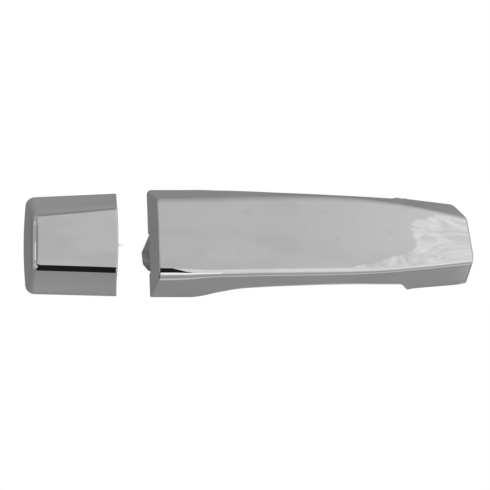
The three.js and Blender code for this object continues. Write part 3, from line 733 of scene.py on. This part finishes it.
# ---------------------------------------------------------------- geometry node trees
class Tree(Wiring):
    """Geometry node group with named inputs."""

    def __init__(self, name):
        super().__init__(bpy.data.node_groups.new(name, "GeometryNodeTree"))
        for way in ("OUTPUT", "INPUT"):
            self.tree.interface.new_socket("Geometry", in_out=way, socket_type="NodeSocketGeometry")
        self.start = self.tree.nodes.new("NodeGroupInput")
        self.end = self.tree.nodes.new("NodeGroupOutput")

    def input(self, name, kind, value=None):
        socket = self.tree.interface.new_socket(name, in_out="INPUT", socket_type="NodeSocket" + kind)
        if value is not None:
            socket.default_value = value
        return self.start.outputs[name]

    def node(self, kind, settings=None, **inputs):
        """Node by its kind, without the prefix of the geometry ones."""
        prefix = "" if kind.startswith("Shader") else "GeometryNode"
        return super().node(prefix + kind, settings, **inputs)

    def lifted(self, geometry, height):
        """Geometry moved along Z."""
        offset = self.node("ShaderNodeCombineXYZ", Z=height)
        return self.node("Transform", Geometry=geometry, Translation=offset.outputs[0]).outputs[0]

    def on_points(self, geometry):
        """One copy of the geometry on each point of the object."""
        placed = self.node("InstanceOnPoints", Points=self.start.outputs["Geometry"], Instance=geometry)
        return placed.outputs[0]

    def close(self, geometry):
        """Ends the tree: realized, and in the material input's finish."""
        material = self.input("Finish", "Material")
        real = self.node("RealizeInstances", Geometry=geometry)
        done = self.node("SetMaterial", Geometry=real.outputs[0], Material=material)
        self.tree.links.new(done.outputs[0], self.end.inputs["Geometry"])
        return self.tree


def grow(obj, tree, material, **values):
    """Runs a tree on an object and returns the plain mesh object it makes."""
    modifier = obj.modifiers.new(tree.name, "NODES")
    modifier.node_group = tree
    for item in tree.interface.items_tree:
        if item.in_out != "INPUT":
            continue
        if item.name == "Finish":
            modifier[item.identifier] = material
        elif item.name in values:
            modifier[item.identifier] = values[item.name]
    mesh = evaluated_mesh(obj)
    name = obj.name
    old = obj.data
    bpy.data.objects.remove(obj)
    if isinstance(old, bpy.types.Curve):
        bpy.data.curves.remove(old)
    else:
        bpy.data.meshes.remove(old)
    return link(bpy.data.objects.new(name, mesh))


def screw_tree():
    """Socket-head screw on each point, with its shank along +Z before it is turned."""
    t = Tree("Socket screw")
    head_r = t.input("Head radius", "Float", 0.003)
    head_h = t.input("Head height", "Float", 0.0018)
    shank_r = t.input("Shank radius", "Float", 0.0014)
    shank = t.input("Shank length", "Float", 0.008)
    socket_r = t.input("Socket radius", "Float", 0.0013)
    pitch = t.input("Thread pitch", "Float", 0.001)
    turn = t.input("Turn", "Vector", (0.0, 0.0, 0.0))
    head = t.node("MeshCylinder", Vertices=40, Radius=head_r, Depth=head_h)
    hole = t.node("MeshCylinder", Vertices=6, Radius=socket_r, Depth=head_h)
    cut = t.node("MeshBoolean", {"operation": "DIFFERENCE"})
    t.feed(cut.inputs["Mesh 1"], t.lifted(head.outputs["Mesh"], t.maths("MULTIPLY", head_h, -0.5)))
    t.feed(cut.inputs["Mesh 2"], t.lifted(hole.outputs["Mesh"], t.maths("MULTIPLY", head_h, -0.95)))
    stem = t.node("MeshCylinder", Vertices=28, Radius=shank_r, Depth=shank)
    stem_up = t.lifted(stem.outputs["Mesh"], t.maths("MULTIPLY", shank, 0.5))
    run = t.maths("MULTIPLY", shank, 0.8)
    helix = t.node(
        "CurveSpiral", Resolution=20, Rotations=t.maths("DIVIDE", run, pitch), Start_Radius=shank_r,
        End_Radius=shank_r, Height=run,
    )
    ridge = t.node("CurvePrimitiveCircle", Resolution=4, Radius=t.maths("MULTIPLY", pitch, 0.28))
    thread = t.node("CurveToMesh", Curve=helix.outputs[0], Profile_Curve=ridge.outputs[0], Fill_Caps=True)
    thread_up = t.lifted(thread.outputs[0], t.maths("MULTIPLY", shank, 0.15))
    whole = t.node("JoinGeometry")
    for part in (cut.outputs["Mesh"], stem_up, thread_up):
        t.feed(whole.inputs[0], part)
    turned = t.node("Transform", Geometry=whole.outputs[0], Rotation=turn)
    return t.close(t.on_points(turned.outputs[0]))


def wire_tree():
    """Round wire along a curve."""
    t = Tree("Round wire")
    radius = t.input("Wire radius", "Float", 0.00055)
    sides = t.input("Sides", "Int", 14)
    section = t.node("CurvePrimitiveCircle", Resolution=sides, Radius=radius)
    path = t.start.outputs["Geometry"]
    tube = t.node("CurveToMesh", Curve=path, Profile_Curve=section.outputs[0], Fill_Caps=True)
    return t.close(tube.outputs[0])


def rib_tree():
    """Row of upright ribs on the points of a mesh."""
    t = Tree("Chassis ribs")
    size = t.input("Rib size", "Vector", (0.0012, 0.008, 0.022))
    rib = t.node("MeshCube", Size=size)
    return t.close(t.on_points(rib.outputs["Mesh"]))


def tree_named(name, maker):
    return bpy.data.node_groups.get(name) or maker()


def point_mesh(name, points):
    mesh = bpy.data.meshes.new(name)
    mesh.from_pydata([tuple(v * MM for v in p) for p in points], [], [])
    return link(bpy.data.objects.new(name, mesh))


def path_curve(name, points):
    data = bpy.data.curves.new(name, "CURVE")
    data.dimensions = "3D"
    spline = data.splines.new("POLY")
    spline.points.add(len(points) - 1)
    for target, p in zip(spline.points, points):
        target.co = (*(v * MM for v in p), 1)
    return link(bpy.data.objects.new(name, data))


# ---------------------------------------------------------------- operators
class HANDLE_OT_finishes(bpy.types.Operator):
    """Make the handle's procedural finishes"""

    bl_idname = "handle.finishes"
    bl_label = "Finishes"

    def execute(self, context):
        made = make_finishes(context.scene.handle_finish)
        context.scene["handle_finishes"] = {k: m.name for k, m in made.items()}
        return {"FINISHED"}


class HANDLE_OT_grip_cover(bpy.types.Operator):
    """Build the chromed cover of the grip"""

    bl_idname = "handle.grip_cover"
    bl_label = "Grip cover"

    def execute(self, context):
        shape = context.scene.handle_shape
        piece = cover_mesh("grip_chrome_cover", grip_lines(), grip_place(shape), grip_field(shape), shape.wall)
        dress(piece, "chrome")
        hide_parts("grip_cover")
        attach(piece, GRIP)
        return {"FINISHED"}


class HANDLE_OT_cap_cover(bpy.types.Operator):
    """Build the chromed end cap"""

    bl_idname = "handle.cap_cover"
    bl_label = "Cap cover"

    def execute(self, context):
        shape = context.scene.handle_shape
        piece = cover_mesh("cap_chrome_cover", cap_lines(), cap_place(shape), cap_field(shape), shape.wall)
        dress(piece, "chrome")
        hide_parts("cap_cover")
        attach(piece, CHASSIS)
        return {"FINISHED"}


class HANDLE_OT_mouldings(bpy.types.Operator):
    """Soften the edges of the grip's and the cap's black cores"""

    bl_idname = "handle.mouldings"
    bl_label = "Black mouldings"

    def execute(self, context):
        softened("grip_core", 0.5)
        softened("cap_core", 0.4)
        return {"FINISHED"}


class HANDLE_OT_castings(bpy.types.Operator):
    """Soften the edges of the two arms and the bell crank"""

    bl_idname = "handle.castings"
    bl_label = "Zinc castings"

    def execute(self, context):
        for node in ("pull_arm", "hinge_arm", "bell_crank"):
            softened(node, 0.45).visible_glossy = node != "pull_arm"
        return {"FINISHED"}


RIB_RUN, RIB_Y = (-44, 52, 9), 6.4  # first and last place and number of the ribs, and their depth, mm
RIB_SIZE = (0.0013, 0.0078, 0.0222)  # metres


class HANDLE_OT_chassis(bpy.types.Operator):
    """Soften the chassis and add the ribs in its channel"""

    bl_idname = "handle.chassis"
    bl_label = "Chassis"

    def execute(self, context):
        softened("chassis", 0.35).visible_glossy = False
        places = [(x, RIB_Y, 0.0) for x in np.linspace(*RIB_RUN)]
        ribs = grow(
            point_mesh("chassis_ribs", places), tree_named("Chassis ribs", rib_tree), finish("chassis_nylon"),
            **{"Rib size": RIB_SIZE},
        )
        polish(ribs.data)
        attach(ribs, CHASSIS)
        return {"FINISHED"}


class HANDLE_OT_gaskets(bpy.types.Operator):
    """Soften the rubber gaskets and the stop"""

    bl_idname = "handle.gaskets"
    bl_label = "Rubber"

    def execute(self, context):
        for node in ("rear_gasket", "front_gasket", "cap_gasket", "stop_bumper"):
            softened(node, 0.4)
        return {"FINISHED"}


class HANDLE_OT_small_parts(bpy.types.Operator):
    """Soften the pins, clips, washers, weight and nylon parts"""

    bl_idname = "handle.small_parts"
    bl_label = "Pins, clips and nylon parts"

    def execute(self, context):
        for node in (
            "pivot_pin", "pivot_clip", "crank_shaft", "crank_shaft_clip", "crank_finger", "counterweight",
            "counterweight_rivet", "cap_washer", "cap_insert", "pivot_bush", "crank_spacer", "rod_clip",
        ):
            softened(node, 0.18, segments=2)
        return {"FINISHED"}


# Screws: name, body, -1 where the shank points out of the door and 1 where it points into it, the solids
# that each kind stands for, and mm of head radius and height, shank radius and length, and socket radius.
SCREWS = (
    ("cover_screws", GRIP, -1, ("cover_screw_1", "cover_screw_2"), (3.0, 1.8, 1.4, 8.0, 1.3)),
    ("pull_arm_screws", GRIP, -1, ("pull_arm_screw_1", "pull_arm_screw_2"), (3.2, 2.0, 1.65, 12.0, 1.4)),
    ("hinge_arm_screws", GRIP, -1, ("hinge_arm_screw_1", "hinge_arm_screw_2"), (3.2, 2.0, 1.65, 10.0, 1.4)),
    ("cap_fixing_screw", CHASSIS, -1, ("cap_screw",), (3.6, 2.6, 1.95, 13.0, 1.6)),
    ("fixing_screws", CHASSIS, 1, ("front_fixing_screw", "rear_fixing_screw"), (3.6, 1.8, 1.95, 9.4, 1.6)),
)
THREAD_ROOT = 0.94  # share of the shank's radius under the thread
THREAD_PITCH = 0.8  # mm


class HANDLE_OT_screws(bpy.types.Operator):
    """Build the socket-head screws"""

    bl_idname = "handle.screws"
    bl_label = "Screws"

    def execute(self, context):
        for name, body, sense, nodes, (head_r, head_h, shank_r, shank, socket) in SCREWS:
            seats = []
            for node in nodes:
                lo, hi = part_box(node)
                seat = hi.y / MM - head_h if sense < 0 else lo.y / MM + head_h
                seats.append(((lo.x + hi.x) / 2 / MM, seat, (lo.z + hi.z) / 2 / MM))
            made = grow(
                point_mesh(name, seats), tree_named("Socket screw", screw_tree), finish("steel"), **{
                    "Head radius": head_r * MM, "Head height": head_h * MM,
                    "Shank radius": shank_r * MM * THREAD_ROOT, "Shank length": shank * MM,
                    "Socket radius": socket * MM, "Thread pitch": THREAD_PITCH * MM,
                    "Turn": (-sense * math.pi / 2, 0.0, 0.0),
                },
            )
            polish(made.data)
            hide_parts(*nodes)
            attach(made, body)
        return {"FINISHED"}


class HANDLE_OT_return_spring(bpy.types.Operator):
    """Build the coiled return spring"""

    bl_idname = "handle.return_spring"
    bl_label = "Return spring"

    def execute(self, context):
        crank_y, crank_z, coil = 19.6, -15.0, 4.6  # the crank's axis and the coil's radius, mm
        lean = math.radians(30.9)  # lean of the leg that lies on the crank
        out = np.array([-math.cos(lean), math.sin(lean)])
        up = np.array([math.sin(lean), math.cos(lean)])
        first, last, turns = -64.8, -59.75, 3  # the coil's two ends along the axis

        def beside(x, off, run):
            y, z = np.array([crank_y, crank_z]) + out * off + up * run
            return (x, y, z)

        points = [beside(*leg) for leg in (
            (-72.4, 7.2, 13), (-69, 7.2, 13), (-67.2, 7.0, 12.8), (-66, 6.6, 11.8), (first, 5.5, 9),
            (first, 4.9, 5), (first, 4.62, 2),
        )]
        swept = lean + 2 * math.pi * turns
        count = 40 * turns
        for i in range(count + 1):
            a = math.pi + lean - swept * i / count
            y, z = crank_y + coil * math.cos(a), crank_z - coil * math.sin(a)
            points.append((mix(first, last, i / count), y, z))
        foot_y, foot_z = crank_y - coil, crank_z - 7
        for on, above in ((0, 3), (0.05, 0.9), (0.4, 0.25), (1.1, 0), (3.8, 0)):
            points.append((last + on, foot_y, foot_z + above))
        wire = grow(
            path_curve("return_spring_wire", points), tree_named("Round wire", wire_tree), finish("spring"),
            **{"Wire radius": 0.55 * MM, "Sides": 14},
        )
        polish(wire.data, 60)
        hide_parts("return_spring")
        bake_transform(wire)
        return {"FINISHED"}


# Brightness of the surroundings by angle: 0 in front, 90 overhead, -90 underneath, 180 behind.
PANELS = [
    (-180, 0.22), (-150, 0.25), (-135, 0.27), (-127, 0.29), (-119, 0.66), (-107, 0.55), (-98, 0.30),
    (-75, 0.30), (-55, 0.72), (-40, 0.74), (-25, 0.58), (-10, 0.52), (0, 0.51), (20, 0.51), (60, 0.44),
    (100, 0.36), (140, 0.31), (155, 0.275), (167, 0.235), (180, 0.22),
]
SIDE_LIGHT = (0.80, 1.20)  # factors at the left and at the right
WINDOW_EDGE = (0.335, 0.362)  # where the bright window at the right starts and is full
WINDOW_GLOW = (0.58, 0.84)  # its least and greatest brightness
WINDOW_MIDDLE = 0.055  # past this height, up or down, its edge leans
WINDOW_BELOW, WINDOW_ABOVE = 4.5, 1.1  # how steeply it leans there
WINDOW_WARP = 0.06  # how far noise shifts it


def surroundings(scene):
    """Studio surroundings: white behind the handle, and soft panels that only reflections see."""
    world = bpy.data.worlds.new("Studio")
    scene.world = world
    world.use_nodes = True
    world.node_tree.nodes.clear()
    sky = Wiring(world.node_tree)
    facing = sky.node("ShaderNodeTexCoord").outputs["Generated"]
    split = sky.node("ShaderNodeSeparateXYZ", Vector=facing)
    across, height = split.outputs["X"], split.outputs["Z"]
    front = sky.maths("MULTIPLY", split.outputs["Y"], -1.0)
    around = sky.maths("ARCTAN2", height, front)

    turn = sky.maths("ADD", sky.maths("DIVIDE", around, 2 * math.pi), 0.5)
    ramp = sky.node("ShaderNodeValToRGB", Fac=turn)
    ramp.color_ramp.interpolation = "B_SPLINE"
    stops = ramp.color_ramp.elements
    while len(stops) > 1:
        stops.remove(stops[-1])
    for i, (angle, value) in enumerate(PANELS):
        place = (angle + 180) / 360
        stop = stops.new(place) if i else stops[0]
        stop.position = place
        stop.color = (value, value, value, 1)
    lit = sky.maths("MULTIPLY", ramp.outputs["Color"], sky.band(across, *SIDE_LIGHT, -0.5, 0.5))

    noise = sky.node("ShaderNodeTexNoise", Vector=facing, Scale=13.0, Detail=4.0, Distortion=3.0)
    warp = noise.outputs["Fac"]
    drop = sky.maths("SUBTRACT", sky.maths("MULTIPLY", height, -1.0), WINDOW_MIDDLE)
    rise = sky.maths("SUBTRACT", height, WINDOW_MIDDLE)
    reach = sky.maths("ADD", across, sky.maths("MULTIPLY", sky.maths("MAXIMUM", drop, 0.0), WINDOW_BELOW))
    reach = sky.maths("ADD", reach, sky.maths("MULTIPLY", warp, WINDOW_WARP))
    reach = sky.maths("SUBTRACT", reach, sky.maths("MULTIPLY", sky.maths("MAXIMUM", rise, 0.0), WINDOW_ABOVE))
    inside = sky.band(reach, 0.0, 1.0, *WINDOW_EDGE, kind="SMOOTHSTEP")
    window = sky.maths("MULTIPLY", inside, sky.band(front, 0.0, 1.0, 0.55, 0.8))
    lit = sky.maths("MAXIMUM", lit, sky.maths("MULTIPLY", window, sky.band(warp, *WINDOW_GLOW)))

    seen = sky.node("ShaderNodeLightPath").outputs["Is Camera Ray"]
    choose = sky.node("ShaderNodeMixShader", Fac=seen)
    sky.feed(choose.inputs[1], sky.node("ShaderNodeBackground", Color=lit).outputs[0])
    sky.feed(choose.inputs[2], sky.node("ShaderNodeBackground", Color=(1, 1, 1, 1)).outputs[0])
    sky.node("ShaderNodeOutputWorld", Surface=choose.outputs[0])


# Cards near the handle: name, corners in mm, and brightness.
CARDS = (
    ("Dark card", [(-186, -110, -23), (-84, -110, -23), (-72, -110, -96), (-186, -110, -96)], 0.012),
    ("Dark shelf", [(-186, -110, -72), (-108, -110, -72), (-108, 13, -72), (-186, 13, -72)], 0.012),
    ("Grey shelf", [(-200, -120, 82), (-107.7, -120, 82), (-107.7, -10, 110), (-200, -10, 110)], 0.25),
    ("Grey side card", [(-357, -234, -150), (-205, -234, -150), (-205, -234, 90), (-357, -234, 90)], 0.27),
    ("White card", [(-107, -200, -204), (-50, -200, -196), (-56, -150, -240), (-107, -150, -246)], 1.0),
    ("Side card", [(-405, -190, -22), (-405, -190, 2), (-372, -232, 2), (-372, -232, -22)], 1.0),
)
# Lights: name, place and side in metres, and power in watts.
LIGHTS = (
    ("Key light", (-0.5, -1.0, 0.7), 0.7, 11.0),
    ("Fill light", (-0.1, -1.6, 0.05), 0.5, 30.0),
    ("Back light", (0.1, 0.9, 0.7), 0.8, 7.0),
)
SENSOR = 36  # width of the camera's sensor, mm
MIDDLE_DEPTH = 0.02  # how far in front of the door skin the frame's width is measured, metres
FLOOR_RADIUS = 0.55  # metres


def reflector(name, corners, value):
    """Card that only shows in reflections."""
    mesh = bpy.data.meshes.new(name)
    mesh.from_pydata([tuple(v * MM for v in c) for c in corners], [], [tuple(range(len(corners)))])
    card = link(bpy.data.objects.new(name, mesh))
    paint = Finish(name.lower().replace(" ", "_"))
    paint.set(Base_Color=(0, 0, 0, 1), Roughness=1.0, Specular_IOR_Level=0.0)
    paint.set(Emission_Strength=1.0, Emission_Color=(value, value, value, 1))
    card.data.materials.append(paint.material)
    card.visible_camera = False
    card.visible_diffuse = False
    card.visible_shadow = False


class HANDLE_OT_stage(bpy.types.Operator):
    """Set up the floor, the studio light and the camera"""

    bl_idname = "handle.stage"
    bl_label = "Stage"

    def execute(self, context):
        scene = context.scene
        stage = scene.handle_stage
        scene.view_settings.view_transform = "Standard"
        scene.view_settings.look = "None"
        surroundings(scene)

        camera = link(bpy.data.objects.new("Camera", bpy.data.cameras.new("Camera")))
        camera.location = (stage.aim_x, -stage.distance, stage.aim_z)
        camera.rotation_euler = (math.pi / 2, 0, 0)
        camera.data.sensor_width = SENSOR
        camera.data.lens = SENSOR * (stage.distance - MIDDLE_DEPTH) / stage.frame_width
        camera.data.clip_end = 50
        scene.camera = camera

        for name, place, size, power in LIGHTS:
            light = link(bpy.data.objects.new(name, bpy.data.lights.new(name, "AREA")))
            light.data.shape = "SQUARE"
            light.data.size = size
            light.data.energy = power
            light.location = place
            light.rotation_euler = (-light.location).to_track_quat("-Z", "Y").to_euler()
            light.visible_glossy = False

        for name, corners, value in CARDS:
            reflector(name, corners, value)

        floor_mesh = bpy.data.meshes.new("Floor")
        work = bmesh.new()
        bmesh.ops.create_circle(work, cap_ends=True, segments=96, radius=FLOOR_RADIUS)
        bmesh.ops.translate(work, verts=work.verts, vec=(stage.aim_x, 0, stage.floor_height))
        work.to_mesh(floor_mesh)
        work.free()
        floor = link(bpy.data.objects.new("Floor", floor_mesh))
        pale = Finish("pale_floor").set(Roughness=0.9, Specular_IOR_Level=0.2)
        pale.tint(pale.noise(9, 3), (0.80, 0.80, 0.80), (0.83, 0.83, 0.83))
        floor.data.materials.append(pale.material)
        floor.visible_glossy = False
        return {"FINISHED"}


STEPS = (
    HANDLE_OT_stage, HANDLE_OT_finishes, HANDLE_OT_grip_cover, HANDLE_OT_cap_cover, HANDLE_OT_mouldings,
    HANDLE_OT_castings, HANDLE_OT_chassis, HANDLE_OT_gaskets, HANDLE_OT_small_parts, HANDLE_OT_screws,
    HANDLE_OT_return_spring,
)


class HANDLE_PT_panel(bpy.types.Panel):
    """Steps that build the door handle"""

    bl_idname = "HANDLE_PT_panel"
    bl_label = "Car Door Handle"
    bl_space_type = "VIEW_3D"
    bl_region_type = "UI"
    bl_category = "Door Handle"

    def draw(self, context):
        for group in SETTINGS:
            settings = getattr(context.scene, group)
            box = self.layout.box()
            for name in settings.__annotations__:
                box.prop(settings, name)
        for step in STEPS:
            self.layout.operator(step.bl_idname)


SETTINGS = {
    "handle_shape": HandleShapeSettings,
    "handle_finish": HandleFinishSettings,
    "handle_stage": HandleStageSettings,
}


def register():
    for cls in (*SETTINGS.values(), *STEPS, HANDLE_PT_panel):
        bpy.utils.register_class(cls)
    for name, cls in SETTINGS.items():
        setattr(bpy.types.Scene, name, bpy.props.PointerProperty(type=cls))


def unregister():
    for name in SETTINGS:
        delattr(bpy.types.Scene, name)
    for cls in (HANDLE_PT_panel, *reversed(STEPS), *reversed(list(SETTINGS.values()))):
        bpy.utils.unregister_class(cls)


def main():
    """Runs the steps in order."""
    register()
    for step in STEPS:
        group, name = step.bl_idname.split(".")
        getattr(getattr(bpy.ops, group), name)()


if __name__ == "__main__":
    main()
